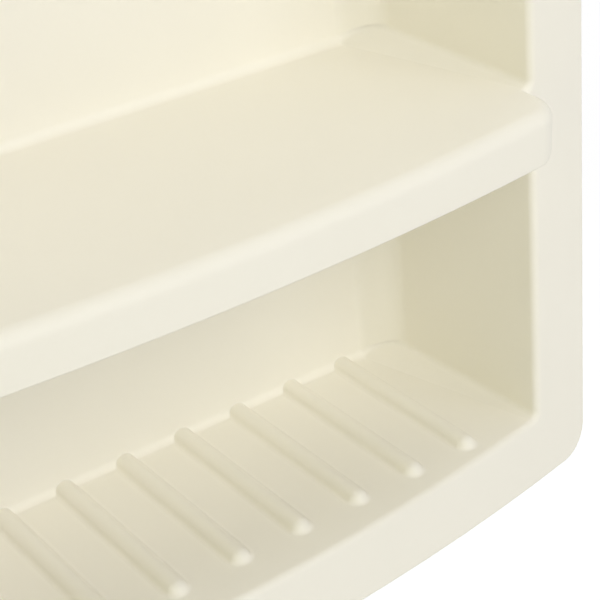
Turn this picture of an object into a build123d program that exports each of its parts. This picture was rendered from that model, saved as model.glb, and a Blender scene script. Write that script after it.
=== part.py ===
"""Recessed soap dish with a shelf: one bow-fronted moulding that is let into a wall.

Frame: X runs across the dish, Y into the wall and Z up. The origin is the middle of the
frame's seat on the wall, so the niche lies at Y > 0 and the bowed frame at Y < 0.
All lengths are millimetres and all angles are degrees.
"""
from build123d import *
import math
import os

NODE = "soap_dish"

# Frame that covers the edge of the wall opening
FRAME_WIDTH = 381.0
FRAME_HEIGHT = 571.5
FRAME_CORNER_RADIUS = 14.0
FRAME_EDGE_DEPTH = 6.0
BOW_RISE = 19.2
STILE_WIDTH = 34.6
SILL_HEIGHT = 32.2
HEAD_HEIGHT = 32.2
OUTER_EDGE_RADIUS = 2.5
OPENING_EDGE_RADIUS = 3.0

# Moulded wall and the niche behind the frame
WALL = 6.35
NICHE_DEPTH = 72.7
SIDE_DRAFT = 7.0
FLOOR_FALL = 3.3
CEILING_RISE = 3.0
BACK_COVE = 4.0
BACK_CORNER_RADIUS = 18.0
BACK_CORNER_LAP = 0.25
FACET_RUN = 13.0
FACET_RISE = 7.2
FACET_LEAD = 3.0
FACET_WALL_ROUND = 3.0
FACET_FOOT_ROUND = 1.2

# Shelf over the soap bay
SOAP_BAY_HEIGHT = 117.9
SHELF_THICKNESS = 23.6
SHELF_PROJECTION = 18.0
SHELF_CORNER_RADIUS = 15.0
SHELF_UPPER_ROUND = 5.5
SHELF_END_ROUND = 14.0

# Drain ribs on the floor of the soap bay
RIB_PITCH = 27.4
RIB_HEIGHT = 3.9
RIB_CROWN_RADIUS = 4.4
RIB_FOOT_RADIUS = 3.0
RIB_FOOT_DIP = 0.1
RIB_CLEARANCE = 1.2
RIB_END_MARGIN = 3.0
RIB_ROOT = 1.5

# Space that a cutting form keeps beyond the faces it cuts
OVERRUN = 1.0

# Distance within which two places count as the same
FLUSH = 0.05

# Bow of the frame: a cylinder about a vertical axis
BOW_RADIUS = ((FRAME_WIDTH / 2) ** 2 + BOW_RISE**2) / (2 * BOW_RISE)
BOW_FRONT = FRAME_EDGE_DEPTH + BOW_RISE
BOW_AXIS_Y = BOW_RADIUS - BOW_FRONT

# Heights at the wall plane
FLOOR_Z = SILL_HEIGHT - FRAME_HEIGHT / 2
SHELF_UNDER_Z = FLOOR_Z + SOAP_BAY_HEIGHT
SHELF_TOP_Z = SHELF_UNDER_Z + SHELF_THICKNESS
CEILING_Z = FRAME_HEIGHT / 2 - HEAD_HEIGHT
NICHE_HALF_WIDTH = FRAME_WIDTH / 2 - STILE_WIDTH

# Slope where a rib's crown runs into its foot, and half of the rib's width
RIB_TURN = math.acos(1 - (RIB_HEIGHT + RIB_FOOT_DIP) / (RIB_CROWN_RADIUS + RIB_FOOT_RADIUS))
RIB_REACH = (RIB_CROWN_RADIUS + RIB_FOOT_RADIUS) * math.sin(RIB_TURN)

SIDE_SLOPE = math.tan(math.radians(SIDE_DRAFT))
FLOOR_SLOPE = math.tan(math.radians(FLOOR_FALL))
CEILING_SLOPE = math.tan(math.radians(CEILING_RISE))


def bow(radius, height):
    """A tall cylinder on the bow's axis, whose front is a bowed face."""
    return Pos(0, BOW_AXIS_Y, 0) * Cylinder(radius, height)


def frame_prism(inset, front, back):
    """The frame's rounded outline, drawn in by inset and carried from front to back along Y."""
    radius = max(FRAME_CORNER_RADIUS - inset, OUTER_EDGE_RADIUS)
    outline = RectangleRounded(FRAME_WIDTH - 2 * inset, FRAME_HEIGHT - 2 * inset, radius)
    return extrude(Plane(origin=(0, back, 0), x_dir=(1, 0, 0), z_dir=(0, -1, 0)) * outline, back - front)


def long_edges(form):
    """The straight edges of a bay that run from its front to its back."""
    lines = form.edges().filter_by(GeomType.LINE)
    return [edge for edge in lines if abs((edge @ 1).Y - (edge @ 0).Y) > NICHE_DEPTH / 2]


def at_side(edge, half_width):
    """Whether an edge lies on a side wall, whose place is half_width(y)."""
    middle = edge @ 0.5
    return half_width(middle.Y) - abs(middle.X) < FLUSH


def at_level(edge, low, high):
    """Whether an edge lies on the floor, at low(y), or on the ceiling, at high(y)."""
    middle = edge @ 0.5
    return min(middle.Z - low(middle.Y), high(middle.Y) - middle.Z) < FLUSH


def bay(floor_z, ceiling_z, front, swell=0.0):
    """A bay of the niche, from the plane y = front to the back wall.

    Its sides are drafted, its floor falls and its ceiling rises towards the front. Slanted
    facets along its four long edges widen towards the back. floor_z and ceiling_z are its
    heights at the wall plane, and swell moves every face outwards.
    """
    back = NICHE_DEPTH + swell

    def half_width(y):
        return NICHE_HALF_WIDTH - SIDE_SLOPE * y + swell

    def low(y):
        return floor_z + FLOOR_SLOPE * y - swell

    def high(y):
        return ceiling_z - CEILING_SLOPE * y + swell

    ahead = front - OVERRUN
    beyond = back + BACK_CORNER_LAP
    plan = Polygon(
        (half_width(front), front),
        (half_width(beyond), beyond),
        (-half_width(beyond), beyond),
        (-half_width(front), front),
        align=None,
    )
    plan = fillet(plan.vertices().group_by(Axis.Y)[-1], BACK_CORNER_RADIUS + swell)
    side = Polygon(
        (ahead, low(ahead)),
        (back, low(back)),
        (back, high(back)),
        (ahead, high(ahead)),
        align=None,
    )
    side = fillet(side.vertices().group_by(Axis.X)[-1], BACK_COVE + swell)
    form = extrude(plan, FRAME_HEIGHT, both=True)
    form &= extrude(Plane.YZ * side, FRAME_WIDTH, both=True)

    # Each facet's plane passes through its tip ahead of the frame and its two back corners
    tip_y = -BOW_FRONT - FACET_LEAD
    middle = Vector(0, (tip_y + back) / 2, (floor_z + ceiling_z) / 2)
    for level, inward in ((low, 1), (high, -1)):
        for hand in (1, -1):
            tip = Vector(hand * half_width(tip_y), tip_y, level(tip_y))
            foot = Vector(hand * (half_width(back) - FACET_RUN), back, level(back))
            head = Vector(hand * half_width(back), back, level(back) + inward * FACET_RISE)
            normal = (foot - tip).cross(head - tip)
            if normal.dot(middle - tip) < 0:
                normal = -normal
            form = split(form, bisect_by=Plane(origin=tip, z_dir=normal), keep=Keep.TOP)

    if swell:
        return form
    form = fillet([edge for edge in long_edges(form) if at_side(edge, half_width)], FACET_WALL_ROUND)
    return fillet([edge for edge in long_edges(form) if at_level(edge, low, high)], FACET_FOOT_ROUND)


def shelf_nose():
    """The front of the shelf: a bowed slab with rounded ends that stands proud of the frame.

    It is drawn level about the wall plane and then tipped to the fall of the shelf. Its underside
    rises towards the front and turns up into the ends.
    """
    half = NICHE_HALF_WIDTH + SIDE_SLOPE * FRAME_EDGE_DEPTH
    front = BOW_FRONT + SHELF_PROJECTION
    plan = Pos(0, -front / 2) * Rectangle(2 * half, front)
    plan &= Pos(0, BOW_AXIS_Y) * Circle(BOW_RADIUS + SHELF_PROJECTION)
    plan = fillet(plan.vertices().group_by(Axis.Y)[0], SHELF_CORNER_RADIUS)
    slab = extrude(plan, -2 * SHELF_THICKNESS)
    top = slab.faces().sort_by(Axis.Z)[-1]
    seat = top.edges().sort_by(Axis.Y)[-1]
    slab = fillet([edge for edge in top.edges() if edge != seat], SHELF_UPPER_ROUND)
    slab = Pos(0, 0, SHELF_TOP_Z) * Rot(FLOOR_FALL, 0, 0) * slab

    section = Pos(0, SHELF_THICKNESS) * Rectangle(2 * half, 2 * SHELF_THICKNESS)
    section = fillet(section.vertices().group_by(Axis.Y)[0], SHELF_END_ROUND)
    rise = math.radians(CEILING_RISE)
    under = Plane(
        origin=(0, 0, SHELF_UNDER_Z),
        x_dir=(1, 0, 0),
        z_dir=(0, -math.cos(rise), math.sin(rise)),
    )
    return slab & extrude(under * section, 2 * front, both=True)


def rib_section():
    """Half of a rib across its length: a round crown on a hollow foot that dips under the floor."""
    turn = math.degrees(RIB_TURN)
    crown = (0, RIB_HEIGHT - RIB_CROWN_RADIUS)
    foot = (RIB_REACH, RIB_FOOT_RADIUS - RIB_FOOT_DIP)
    outline = [
        CenterArc(crown, RIB_CROWN_RADIUS, 90 - turn, turn),
        CenterArc(foot, RIB_FOOT_RADIUS, 270 - turn, turn),
        Polyline((RIB_REACH, -RIB_FOOT_DIP), (RIB_REACH, -RIB_ROOT), (0, -RIB_ROOT), (0, RIB_HEIGHT)),
    ]
    return make_face(outline)


def rib_stations():
    """X of each rib: as many as the flat of the floor takes, about the middle."""
    flat_half = NICHE_HALF_WIDTH - SIDE_SLOPE * NICHE_DEPTH - FACET_RUN
    count = 1 + int((2 * (flat_half - RIB_END_MARGIN)) // RIB_PITCH)
    return [RIB_PITCH * (index - (count - 1) / 2) for index in range(count)]


def rib(front):
    """One rib along the falling floor: a domed end about y = front, and a tail in the back wall."""
    fall = math.radians(FLOOR_FALL)
    seat = Plane(
        origin=(0, front, FLOOR_Z + FLOOR_SLOPE * front),
        x_dir=(1, 0, 0),
        z_dir=(0, -math.cos(fall), -math.sin(fall)),
    )
    half = rib_section()
    run = extrude(half, -(NICHE_DEPTH + WALL / 2 - front) / math.cos(fall))
    run += mirror(run, about=Plane.YZ)
    dome = revolve(half, axis=Axis.Y, revolution_arc=-180)
    return seat * (run + dome)


def ribs():
    """The row of ribs, whose domes stand behind the rounding of the bowed sill."""
    stations = rib_stations()
    outermost = stations[-1] + RIB_REACH
    sill_y = BOW_AXIS_Y - math.sqrt(BOW_RADIUS**2 - outermost**2)
    one = rib(sill_y + OPENING_EDGE_RADIUS + RIB_CLEARANCE + RIB_REACH)
    return [Pos(x, 0, 0) * one for x in stations]


def soap_dish():
    """The whole moulding as one solid."""
    bow_height = FRAME_HEIGHT + 2 * OVERRUN
    body = frame_prism(0, -BOW_FRONT - OVERRUN, 0) & bow(BOW_RADIUS, bow_height)
    face = body.faces().filter_by(GeomType.CYLINDER).sort_by(Axis.Y)[0]
    body = fillet(face.outer_wire().edges(), OUTER_EDGE_RADIUS)

    # The bow is an even wall: it is hollow behind, inside a rim that seats on the wall
    niche = bay(FLOOR_Z, CEILING_Z, -BOW_FRONT, WALL)
    hollow = frame_prism(WALL, -BOW_FRONT, OVERRUN) & bow(BOW_RADIUS - WALL, bow_height)
    body -= hollow - niche
    body += niche & (Pos(0, NICHE_DEPTH, 0) * Box(FRAME_WIDTH, 2 * (NICHE_DEPTH + OVERRUN), FRAME_HEIGHT))

    front = -BOW_FRONT - OVERRUN
    body -= bay(FLOOR_Z, SHELF_UNDER_Z, front)
    body -= bay(SHELF_TOP_Z, CEILING_Z, front)
    face = body.faces().filter_by(GeomType.CYLINDER).sort_by(Axis.Y)[0]
    rims = [edge for wire in face.inner_wires() for edge in wire.edges()]
    body = fillet(rims, OPENING_EDGE_RADIUS)

    body += shelf_nose()
    body += ribs()
    return body


def main():
    os.makedirs("parts", exist_ok=True)
    dish = soap_dish()
    export_step(dish, f"parts/{NODE}.step")


main()
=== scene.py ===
"""Looks of the recessed soap dish: its cast body, its satin finish, the studio and the camera.

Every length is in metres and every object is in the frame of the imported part: X runs across the
dish, Y into the wall and Z up, with the origin in the middle of the frame's seat on the wall.
"""

import logging
import math
from dataclasses import dataclass
from enum import Enum
from typing import Any, Union

import bpy
import numpy as np
from mathutils import Matrix, Vector


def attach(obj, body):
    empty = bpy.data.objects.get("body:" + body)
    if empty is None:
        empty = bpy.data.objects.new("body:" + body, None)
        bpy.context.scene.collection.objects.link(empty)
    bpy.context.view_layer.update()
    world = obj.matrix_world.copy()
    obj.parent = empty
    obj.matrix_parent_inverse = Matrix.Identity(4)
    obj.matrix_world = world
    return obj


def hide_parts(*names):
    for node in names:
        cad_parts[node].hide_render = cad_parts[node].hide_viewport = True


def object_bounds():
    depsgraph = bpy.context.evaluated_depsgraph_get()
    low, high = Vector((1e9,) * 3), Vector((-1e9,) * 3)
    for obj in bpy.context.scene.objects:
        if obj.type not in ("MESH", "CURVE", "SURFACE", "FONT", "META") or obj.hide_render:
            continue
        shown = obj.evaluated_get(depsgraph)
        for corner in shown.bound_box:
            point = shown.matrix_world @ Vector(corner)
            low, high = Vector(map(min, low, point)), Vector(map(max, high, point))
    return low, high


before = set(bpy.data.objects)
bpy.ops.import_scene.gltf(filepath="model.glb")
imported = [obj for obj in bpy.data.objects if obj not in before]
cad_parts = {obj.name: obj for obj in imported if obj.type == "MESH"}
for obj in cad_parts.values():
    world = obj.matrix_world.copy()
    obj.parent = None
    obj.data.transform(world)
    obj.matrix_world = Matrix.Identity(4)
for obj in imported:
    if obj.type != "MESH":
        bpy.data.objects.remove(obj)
CAD_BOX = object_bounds()

NODE = "soap_dish"
MILLIMETRE = 0.001
RIGHT_ANGLE = 90.0
TINY = 1e-18
CORNERS = 3
MATRIX_SIZE = 4

OBJECT_PLACE = 3
MIX_FACTOR, MIX_FIRST, MIX_SECOND, MIX_RESULT = 0, 6, 7, 2
LENGTH_RESULT = 1
NOISE_MIDDLE = 0.5
NOISE_FALLOFF = 0.5
EVEN_MIX = 0.5

log = logging.getLogger("soap_dish")

Colour = tuple[float, float, float]
Point = tuple[float, float, float]

WHITE: Colour = (1.0, 1.0, 1.0)


class Side(Enum):
    """The side of the casting that a face belongs to, which is also its material slot."""

    ROOM = 0
    WALL = 1


class Wire:
    """The value of a node's socket, with arithmetic that adds Math nodes to its board."""

    def __init__(self, board: "Board", socket: bpy.types.NodeSocket) -> None:
        """Keeps the socket and the board that it is on."""
        self.board = board
        self.socket = socket

    def _math(self, operation: str, first: "Value", second: "Value") -> "Wire":
        """Adds one Math node.

        Args:
            operation: the Math node's operation.
            first: its first value.
            second: its second value.

        Returns:
            The node's result.
        """
        return self.board.node("ShaderNodeMath", {"operation": operation}, {0: first, 1: second})[0]

    def __add__(self, other: "Value") -> "Wire":
        """The sum with another value."""
        return self._math("ADD", self, other)

    __radd__ = __add__

    def __mul__(self, other: "Value") -> "Wire":
        """The product with another value."""
        return self._math("MULTIPLY", self, other)

    __rmul__ = __mul__

    def __sub__(self, other: "Value") -> "Wire":
        """This value less another."""
        return self._math("SUBTRACT", self, other)

    def __rsub__(self, other: "Value") -> "Wire":
        """Another value less this one."""
        return self._math("SUBTRACT", other, self)


Value = Union[Wire, float, Colour]


class Board:
    """The node tree of a material or of the world, cleared and ready to be drawn on."""

    def __init__(self, tree: bpy.types.NodeTree) -> None:
        """Clears the tree."""
        self.tree = tree
        tree.nodes.clear()

    def node(
        self, kind: str, settings: dict[str, Any], inputs: dict[Union[int, str], Value]
    ) -> list[Wire]:
        """Adds a node.

        Args:
            kind: the node's type.
            settings: its properties, which are set first.
            inputs: the value or the link of each socket, by number or by name.

        Returns:
            Its outputs, in order.
        """
        made = self.tree.nodes.new(kind)
        for name, value in settings.items():
            setattr(made, name, value)
        for key, value in inputs.items():
            socket = made.inputs[key]
            if isinstance(value, Wire):
                self.tree.links.new(value.socket, socket)
            elif isinstance(value, tuple) and socket.type == "RGBA":
                socket.default_value = (*value, 1.0)
            else:
                socket.default_value = value
        return [Wire(self, socket) for socket in made.outputs]

    def cloud(self, place: Wire, size: float, layers: float) -> Wire:
        """A soft noise about zero, from -0.5 to 0.5.

        Args:
            place: the coordinates that it is read at, in metres.
            size: the size of its patches, in metres.
            layers: how many finer layers it has.

        Returns:
            The noise.
        """
        inputs = {"Vector": place, "Scale": 1.0 / size, "Detail": layers, "Roughness": NOISE_FALLOFF}
        return self.node("ShaderNodeTexNoise", {}, inputs)[0] - NOISE_MIDDLE

    def blend(self, share: Wire, first: Colour, second: Colour) -> Wire:
        """A colour between two others.

        Args:
            share: the second colour's share, held from 0 to 1.
            first: the first colour.
            second: the second colour.

        Returns:
            The colour.
        """
        settings = {"data_type": "RGBA", "clamp_factor": True}
        inputs = {MIX_FACTOR: share, MIX_FIRST: first, MIX_SECOND: second}
        return self.node("ShaderNodeMix", settings, inputs)[MIX_RESULT]


@dataclass(frozen=True)
class CastResin:
    """Mineral-filled cast resin, coloured right through, as it leaves the mould.

    The colour drifts in clouds and carries a fine grain. The gloss drifts with its own clouds, and
    the surface has a faint ripple from the mould and a finer tooth. The edges are broken by a small
    radius.
    """

    name: str
    colour: Colour
    shade: Colour
    cloud_size: float
    cloud_depth: float
    grain_size: float
    grain_depth: float
    roughness: float
    roughness_drift: float
    ripple_size: float
    ripple_height: float
    tooth_size: float
    tooth_height: float
    edge_radius: float
    cloud_layers: float = 3.0
    grain_layers: float = 1.0
    gloss_layers: float = 4.0
    relief_layers: float = 2.0
    edge_samples: int = 6
    ior: float = 1.5

    def material(self) -> bpy.types.Material:
        """The finish as a material.

        Returns:
            A material whose pattern is read at Object coordinates.
        """
        made = bpy.data.materials.new(self.name)
        made.use_nodes = True
        made.diffuse_color = (*self.colour, 1.0)
        board = Board(made.node_tree)
        place = board.node("ShaderNodeTexCoord", {}, {})[OBJECT_PLACE]

        clouds = board.cloud(place, self.cloud_size, self.cloud_layers)
        grain = board.cloud(place, self.grain_size, self.grain_layers)
        tint = EVEN_MIX + clouds * self.cloud_depth + grain * self.grain_depth
        mixed = board.blend(tint, self.shade, self.colour)

        gloss = board.cloud(place, self.cloud_size / 2, self.gloss_layers)
        gloss = gloss * self.roughness_drift + self.roughness
        relief = board.cloud(place, self.ripple_size, self.relief_layers) * self.ripple_height
        relief = relief + board.cloud(place, self.tooth_size, self.relief_layers) * self.tooth_height
        edge = board.node(
            "ShaderNodeBevel", {"samples": self.edge_samples}, {"Radius": self.edge_radius}
        )[0]
        bump = board.node(
            "ShaderNodeBump",
            {},
            {"Strength": 1.0, "Distance": 1.0, "Height": relief, "Normal": edge},
        )[0]
        shader = board.node(
            "ShaderNodeBsdfPrincipled",
            {},
            {"Base Color": mixed, "Roughness": gloss, "IOR": self.ior, "Normal": bump},
        )[0]
        board.node("ShaderNodeOutputMaterial", {}, {"Surface": shader})
        return made


@dataclass(frozen=True)
class PalePaper:
    """The floor: a plain pale sheet that keeps the dish's shadow and goes over to white round it.

    The fade is by the distance from the frame's origin.
    """

    name: str
    colour: Colour
    lift: float
    fade_start: float
    fade_end: float
    grain_size: float = 0.004
    grain_layers: float = 2.0
    grain_depth: float = 0.2
    grain_dark: float = 0.985

    def material(self) -> bpy.types.Material:
        """The finish as a material.

        Returns:
            A matt material that the camera sees a little lifted, and white from the fade's end on,
            while light rays find it as it is.
        """
        made = bpy.data.materials.new(self.name)
        made.use_nodes = True
        board = Board(made.node_tree)
        place = board.node("ShaderNodeTexCoord", {}, {})[OBJECT_PLACE]
        grain = board.cloud(place, self.grain_size, self.grain_layers) * self.grain_depth + EVEN_MIX
        dark = tuple(self.grain_dark * part for part in self.colour)
        paper = board.node(
            "ShaderNodeBsdfDiffuse", {}, {"Color": board.blend(grain, dark, self.colour)}
        )[0]
        glow = board.node("ShaderNodeEmission", {}, {"Color": WHITE, "Strength": self.lift})[0]
        lifted = board.node("ShaderNodeAddShader", {}, {0: paper, 1: glow})[0]
        white = board.node("ShaderNodeEmission", {}, {"Color": WHITE, "Strength": 1.0})[0]
        away = board.node("ShaderNodeVectorMath", {"operation": "LENGTH"}, {0: place})[LENGTH_RESULT]
        far = board.node(
            "ShaderNodeMapRange",
            {"interpolation_type": "SMOOTHSTEP"},
            {"Value": away, "From Min": self.fade_start, "From Max": self.fade_end},
        )[0]
        faded = board.node("ShaderNodeMixShader", {}, {0: far, 1: lifted, 2: white})[0]
        shown = board.node("ShaderNodeMixShader", {}, {0: seen_rays(board), 1: paper, 2: faded})[0]
        board.node("ShaderNodeOutputMaterial", {}, {"Surface": shown})
        return made


def seen_rays(board: Board) -> Wire:
    """One for the rays that show a background, and zero for those that carry light.

    Args:
        board: the node tree that asks.

    Returns:
        The mask of camera, glossy and transmission rays.
    """
    path = board.node("ShaderNodeLightPath", {}, {})
    names = [wire.socket.name for wire in path]
    camera, glossy, through = (
        path[names.index(name)] for name in ("Is Camera Ray", "Is Glossy Ray", "Is Transmission Ray")
    )
    return camera + glossy + through


ROOM_FINISH = CastResin(
    name="satin_cream_resin",
    colour=(0.916, 0.884, 0.786),
    shade=(0.899, 0.866, 0.763),
    cloud_size=0.060,
    cloud_depth=1.2,
    grain_size=0.0009,
    grain_depth=0.5,
    roughness=0.60,
    roughness_drift=0.10,
    ripple_size=0.018,
    ripple_height=0.00006,
    tooth_size=0.0011,
    tooth_height=0.000006,
    edge_radius=0.0008,
)
WALL_FINISH = CastResin(
    name="raw_cast_back",
    colour=(0.820, 0.770, 0.640),
    shade=(0.690, 0.640, 0.520),
    cloud_size=0.045,
    cloud_depth=1.6,
    grain_size=0.0016,
    grain_depth=1.1,
    roughness=0.68,
    roughness_drift=0.16,
    ripple_size=0.012,
    ripple_height=0.00030,
    tooth_size=0.0018,
    tooth_height=0.00009,
    edge_radius=0.0012,
)
FLOOR_FINISH = PalePaper(
    name="pale_paper", colour=(0.92, 0.92, 0.92), lift=0.35, fade_start=0.55, fade_end=1.20
)


@dataclass
class Casting:
    """The one-piece body: the frame, the niche, the shelf and the ribbed floor.

    The sizes say where the niche's walls are, so that its wall side takes the raw finish, and where
    its upright corners are, whose bands are flatter than their radius.
    """

    crease_angle: float = 38.0
    half_width: float = 155.9 * MILLIMETRE
    side_draft: float = 7.0
    depth: float = 72.7 * MILLIMETRE
    half_height: float = 253.5 * MILLIMETRE
    wall: float = 6.35 * MILLIMETRE
    seat_margin: float = 0.635 * MILLIMETRE
    corner_radius: float = 18.0 * MILLIMETRE
    corner_lap: float = 0.25 * MILLIMETRE
    band_power: float = 2.5
    band_steps: int = 200
    band_back_power: float = 4.0
    band_side_power: float = 1.7
    weld: float = 0.001 * MILLIMETRE
    flush: float = 0.02 * MILLIMETRE
    slight: float = 0.05

    def surface(self, node: bpy.types.Object) -> tuple[np.ndarray, np.ndarray]:
        """The node's surface with its loose triangles joined.

        Points that round to the same place become one, and faces that lose a corner go.

        Args:
            node: the CAD node.

        Returns:
            The points (n, 3) and the triangles (m, 3).
        """
        mesh = node.data
        places = np.empty(len(mesh.vertices) * 3)
        mesh.vertices.foreach_get("co", places)
        corners = np.empty(len(mesh.loops), dtype=np.int64)
        mesh.loops.foreach_get("vertex_index", corners)
        places = places.reshape(-1, 3)
        keys = np.round(places / self.weld).astype(np.int64)
        _, first, joined = np.unique(keys, axis=0, return_index=True, return_inverse=True)
        faces = joined.reshape(-1)[corners].reshape(-1, CORNERS)
        whole = (
            (faces[:, 0] != faces[:, 1]) & (faces[:, 1] != faces[:, 2]) & (faces[:, 2] != faces[:, 0])
        )
        return places[first], faces[whole]

    def face_vectors(self, points: np.ndarray, faces: np.ndarray) -> np.ndarray:
        """Twice the area of each triangle along its normal: the cross product of two of its edges.

        Args:
            points: the surface's points.
            faces: its triangles.

        Returns:
            One vector a triangle.
        """
        first, second, third = (points[faces[:, corner]] for corner in range(CORNERS))
        return np.cross(second - first, third - first)

    def corner_turns(self) -> tuple[float, float]:
        """The angles of a corner's arc where it meets the back wall and the side wall."""
        at_back = math.acos(1.0 - self.corner_lap / self.corner_radius)
        return at_back, math.radians(RIGHT_ANGLE - self.side_draft)

    def corner_places(self, points: np.ndarray) -> tuple[np.ndarray, np.ndarray]:
        """The points on the arcs of the niche's upright corners.

        They lie at the corner radius from an upright axis, on its far side from the room.

        Args:
            points: the surface's points.

        Returns:
            Whether each point is on an arc, and its angle there, from straight back to straight out.
        """
        slope = math.tan(math.radians(self.side_draft))
        axis_back = self.depth + self.corner_lap - self.corner_radius
        axis_out = self.half_width - slope * axis_back - self.corner_radius * math.hypot(1.0, slope)
        out, back = np.abs(points[:, 0]) - axis_out, points[:, 1] - axis_back
        on = (np.abs(np.hypot(out, back) - self.corner_radius) < self.flush) & (out > 0) & (back > 0)
        return on, np.arctan2(out, back)

    def band_turn(self, angle: np.ndarray, back_power: float, side_power: float) -> np.ndarray:
        """The turn of a band's normal, which is level, from straight back.

        The place u on the arc runs from -1 at the back wall to 1 at the side wall. The turn is the
        middle one, and half of the whole turn times u to a power, with the sign of u. So the middle
        is nearly flat, and the turn is in the rounded edges.

        Args:
            angle: the angle on the arc.
            back_power: the power towards the back wall.
            side_power: the power towards the side wall.

        Returns:
            The turn at each angle.
        """
        first, last = self.corner_turns()
        middle, half_turn = (last + first) / 2, (last - first) / 2
        place = np.clip((angle - middle) / half_turn, -1.0, 1.0)
        power = np.where(place < 0.0, back_power, side_power)
        return middle + half_turn * np.sign(place) * np.abs(place) ** power

    def flattened(self, points: np.ndarray) -> np.ndarray:
        """The points with each upright corner's arc made a band, flat with rounded edges.

        The band's line is the running sum of short steps at right angles to its normal, made to end
        where the arc does. A point on the arc moves to the line at the same angle.

        Args:
            points: the surface's points.

        Returns:
            The points, moved where they are on an arc.
        """
        edges = np.linspace(*self.corner_turns(), self.band_steps + 1)
        turn = self.band_turn((edges[1:] + edges[:-1]) / 2, self.band_power, self.band_power)
        steps = np.stack([np.cos(turn), -np.sin(turn)], axis=-1)
        line = np.vstack([np.zeros(2), np.cumsum(steps, axis=0)])
        arc = self.corner_radius * np.stack([np.sin(edges), np.cos(edges)], axis=-1)
        line *= np.linalg.norm(arc[-1] - arc[0]) / np.linalg.norm(line[-1])
        move = arc[0] + line - arc
        on, angle = self.corner_places(points)
        moved = points.copy()
        moved[:, 0] += on * np.sign(points[:, 0]) * np.interp(angle, edges, move[:, 0])
        moved[:, 1] += on * np.interp(angle, edges, move[:, 1])
        return moved

    def bands(self, points: np.ndarray, faces: np.ndarray) -> tuple[np.ndarray, np.ndarray]:
        """The triangles of the corners' bands, and their normals, sharper at the back wall's edge.

        Args:
            points: the surface's points, before they are flattened.
            faces: its triangles.

        Returns:
            Whether each triangle is on a band, and one normal a point.
        """
        on, angle = self.corner_places(points)
        vectors = self.face_vectors(points, faces)
        level = np.abs(vectors[:, 2]) < self.slight * np.linalg.norm(vectors, axis=1)
        hand = np.sign(points[:, 0])
        one_hand = np.abs(hand[faces].sum(axis=1)) == faces.shape[1]
        turn = self.band_turn(angle, self.band_back_power, self.band_side_power)
        normals = np.stack([-hand * np.sin(turn), -np.cos(turn), np.zeros_like(turn)], axis=-1)
        return on[faces].all(axis=1) & level & one_hand, normals

    def corner_normals(self, points: np.ndarray, faces: np.ndarray) -> np.ndarray:
        """The shading normal at each corner of each triangle.

        It is the sum of the area vectors of the triangles round the corner's point that lie within
        the crease angle of the corner's own triangle, made a unit vector. So flat faces stay flat,
        roundings are smooth and sharp edges stay sharp. The bands have their own normals, and their
        triangles count for no other.

        Args:
            points: the surface's points.
            faces: its triangles.

        Returns:
            Three normals a triangle, in the order of its corners.
        """
        band, band_normals = self.bands(points, faces)
        vectors = self.face_vectors(points, faces)
        units = vectors / np.maximum(np.linalg.norm(vectors, axis=1, keepdims=True), TINY)
        at = faces.reshape(-1)
        by_point = np.argsort(at, kind="stable")
        around = np.bincount(at, minlength=len(points))
        start = np.cumsum(around) - around
        count = around[at]
        own = np.repeat(np.arange(len(at)), count)
        step = np.arange(len(own)) - np.repeat(np.cumsum(count) - count, count)
        other = by_point[start[at[own]] + step]
        alike = np.einsum("ij,ij->i", units[own // CORNERS], units[other // CORNERS])
        near = (alike > math.cos(math.radians(self.crease_angle))) & ~band[other // CORNERS]
        total = np.zeros((len(at), 3))
        np.add.at(total, own[near], vectors[other[near] // CORNERS])
        length = np.linalg.norm(total, axis=1, keepdims=True)
        owner = np.arange(len(at)) // CORNERS
        smooth = np.where(length > TINY, total / np.maximum(length, TINY), units[owner])
        return np.where(band[owner][:, None], band_normals[at], smooth)

    def sides(self, points: np.ndarray, faces: np.ndarray) -> np.ndarray:
        """The side of the casting that each triangle is on.

        A triangle is on the wall side where its middle lies outside the middle of the niche's wall,
        and it is behind the seat or looks back.

        Args:
            points: the surface's points.
            faces: its triangles.

        Returns:
            The value of its Side, one a triangle.
        """
        middle = points[faces].mean(axis=1)
        vectors = self.face_vectors(points, faces)
        looks_back = vectors[:, 1] > self.slight * np.linalg.norm(vectors, axis=1)
        half = self.half_width - math.tan(math.radians(self.side_draft)) * middle[:, 1] + self.wall / 2
        outside = (
            (np.abs(middle[:, 0]) > half)
            | (np.abs(middle[:, 2]) > self.half_height + self.wall / 2)
            | (middle[:, 1] > self.depth + self.wall / 2)
        )
        behind = middle[:, 1] > self.seat_margin
        return np.where(outside & (behind | looks_back), Side.WALL.value, Side.ROOM.value)

    def build(self, node: bpy.types.Object) -> bpy.types.Object:
        """Makes the shaded body in the place of the CAD node.

        Args:
            node: the CAD node that it stands for.

        Returns:
            The new object, at the origin.
        """
        points, faces = self.surface(node)
        mesh = bpy.data.meshes.new("cast_body")
        mesh.from_pydata(self.flattened(points), [], faces)
        mesh.polygons.foreach_set("use_smooth", np.ones(len(faces), dtype=bool))
        mesh.polygons.foreach_set("material_index", self.sides(points, faces).astype(np.int32))
        mesh.normals_split_custom_set(self.corner_normals(points, faces))
        mesh.update()
        piece = bpy.data.objects.new("cast_body", mesh)
        bpy.context.scene.collection.objects.link(piece)
        return piece

    def dress(self, piece: bpy.types.Object) -> None:
        """Gives each side its finish.

        Args:
            piece: the shaded body.
        """
        piece.data.materials.append(ROOM_FINISH.material())
        piece.data.materials.append(WALL_FINISH.material())


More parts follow.
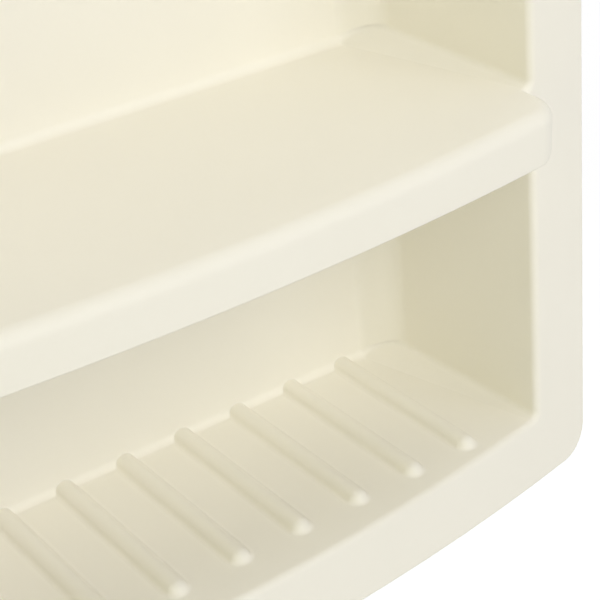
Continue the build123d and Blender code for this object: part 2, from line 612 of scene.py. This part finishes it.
@dataclass(frozen=True)
class Viewpoint:
    """The camera: where it stands and how it is turned.

    The heading is from +Y towards +X, the fall is below the horizon, and the roll is about the line
    of sight. The lens and the sensor are in millimetres.
    """

    place: Point = (-0.2427, -0.4276, 0.0985)
    heading: float = 34.81
    fall: float = 26.93
    roll: float = -5.20
    lens: float = 99.08
    sensor: float = 36.0
    nearest: float = 0.01
    farthest: float = 50.0

    def build(self) -> bpy.types.Object:
        """Makes the scene's camera.

        Returns:
            The camera.
        """
        data = bpy.data.cameras.new("photo_view")
        data.sensor_width = self.sensor
        data.lens = self.lens
        data.clip_start = self.nearest
        data.clip_end = self.farthest
        camera = bpy.data.objects.new("photo_view", data)
        camera.matrix_world = (
            Matrix.Translation(self.place)
            @ Matrix.Rotation(-math.radians(self.heading), MATRIX_SIZE, "Z")
            @ Matrix.Rotation(math.radians(RIGHT_ANGLE - self.fall), MATRIX_SIZE, "X")
            @ Matrix.Rotation(math.radians(self.roll), MATRIX_SIZE, "Z")
        )
        bpy.context.scene.collection.objects.link(camera)
        bpy.context.scene.camera = camera
        return camera


@dataclass(frozen=True)
class Softbox:
    """A square area lamp that faces the dish.

    The bearing is from the room's side of the dish towards +X, and the rise is above the horizon.
    """

    name: str
    bearing: float
    rise: float
    distance: float
    width: float
    power: float
    colour: Colour = WHITE

    def build(self, target: Vector) -> bpy.types.Object:
        """Makes the lamp.

        Args:
            target: the point that it faces.

        Returns:
            The lamp.
        """
        data = bpy.data.lights.new(self.name, "AREA")
        data.shape = "SQUARE"
        data.size = self.width
        data.energy = self.power
        data.color = self.colour
        lamp = bpy.data.objects.new(self.name, data)
        bearing, rise = math.radians(self.bearing), math.radians(self.rise)
        away = Vector(
            (math.sin(bearing) * math.cos(rise), -math.cos(bearing) * math.cos(rise), math.sin(rise))
        )
        lamp.location = target + away * self.distance
        lamp.rotation_euler = (-away).to_track_quat("-Z", "Y").to_euler()
        bpy.context.scene.collection.objects.link(lamp)
        return lamp


@dataclass
class Studio:
    """The floor, the lamps and the even light of the room."""

    floor_drop: float = 0.16
    floor_reach: float = 6.0
    floor_rings: int = 12
    floor_spokes: int = 64
    ambient: float = 0.06
    lamps: tuple[Softbox, ...] = (
        Softbox("front_left", -10.0, 25.0, 2.0, 1.4, 16.0),
        Softbox("front_right", 20.0, 25.0, 2.0, 1.4, 12.8),
        Softbox("left_low", -70.0, 2.0, 2.0, 1.4, 6.2, (1.0, 1.0, 0.54)),
        Softbox("top_right", 80.0, 75.0, 2.0, 1.4, 14.8),
        Softbox("back_fill", 165.0, 35.0, 2.4, 2.0, 22.0),
    )

    def floor(self, low: Vector) -> bpy.types.Object:
        """Makes the floor: a flat disc of rings and spokes, point (r cos t, r sin t, height).

        Args:
            low: the object's lowest corner.

        Returns:
            The floor.
        """
        radius = np.linspace(0.0, 1.0, self.floor_rings) ** 2 * self.floor_reach
        turn = np.linspace(0.0, 2.0 * np.pi, self.floor_spokes, endpoint=False)
        r, t = np.meshgrid(radius, turn, indexing="ij")
        height = np.full_like(r, low.z - self.floor_drop)
        points = np.stack([r * np.cos(t), r * np.sin(t), height], axis=-1).reshape(-1, 3)
        ring, spoke = np.meshgrid(
            np.arange(self.floor_rings - 1), np.arange(self.floor_spokes), indexing="ij"
        )
        after = (spoke + 1) % self.floor_spokes
        quads = np.stack(
            [
                ring * self.floor_spokes + spoke,
                (ring + 1) * self.floor_spokes + spoke,
                (ring + 1) * self.floor_spokes + after,
                ring * self.floor_spokes + after,
            ],
            axis=-1,
        ).reshape(-1, 4)
        mesh = bpy.data.meshes.new("floor")
        mesh.from_pydata(points, [], quads)
        mesh.materials.append(FLOOR_FINISH.material())
        made = bpy.data.objects.new("floor", mesh)
        bpy.context.scene.collection.objects.link(made)
        return made

    def world(self) -> bpy.types.World:
        """Makes the even light: white where it is seen, and the ambient level where it lights.

        Returns:
            The world.
        """
        made = bpy.data.worlds.new("even_light")
        made.use_nodes = True
        board = Board(made.node_tree)
        even = board.node("ShaderNodeBackground", {}, {"Color": WHITE, "Strength": self.ambient})[0]
        white = board.node("ShaderNodeBackground", {}, {"Color": WHITE, "Strength": 1.0})[0]
        shown = board.node("ShaderNodeMixShader", {}, {0: seen_rays(board), 1: even, 2: white})[0]
        board.node("ShaderNodeOutputWorld", {}, {"Surface": shown})
        bpy.context.scene.world = made
        return made

    def build(self, low: Vector, high: Vector) -> None:
        """Sets the studio round the object.

        Args:
            low: the object's lowest corner.
            high: its highest corner.
        """
        self.world()
        self.floor(low)
        target = (low + high) / 2
        for lamp in self.lamps:
            lamp.build(target)


def main() -> None:
    """Builds the body, the studio and the camera, and reports each piece."""
    logging.basicConfig(level=logging.INFO, format="%(name)s: %(message)s")
    scene = bpy.context.scene
    scene.view_settings.view_transform = "Standard"

    casting = Casting()
    body = casting.build(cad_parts[NODE])
    casting.dress(body)
    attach(body, "root")
    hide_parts(NODE)
    log.info("%s: %d points, %d faces", body.name, len(body.data.vertices), len(body.data.polygons))

    Studio().build(*CAD_BOX)
    Viewpoint().build()


if __name__ == "__main__":
    main()
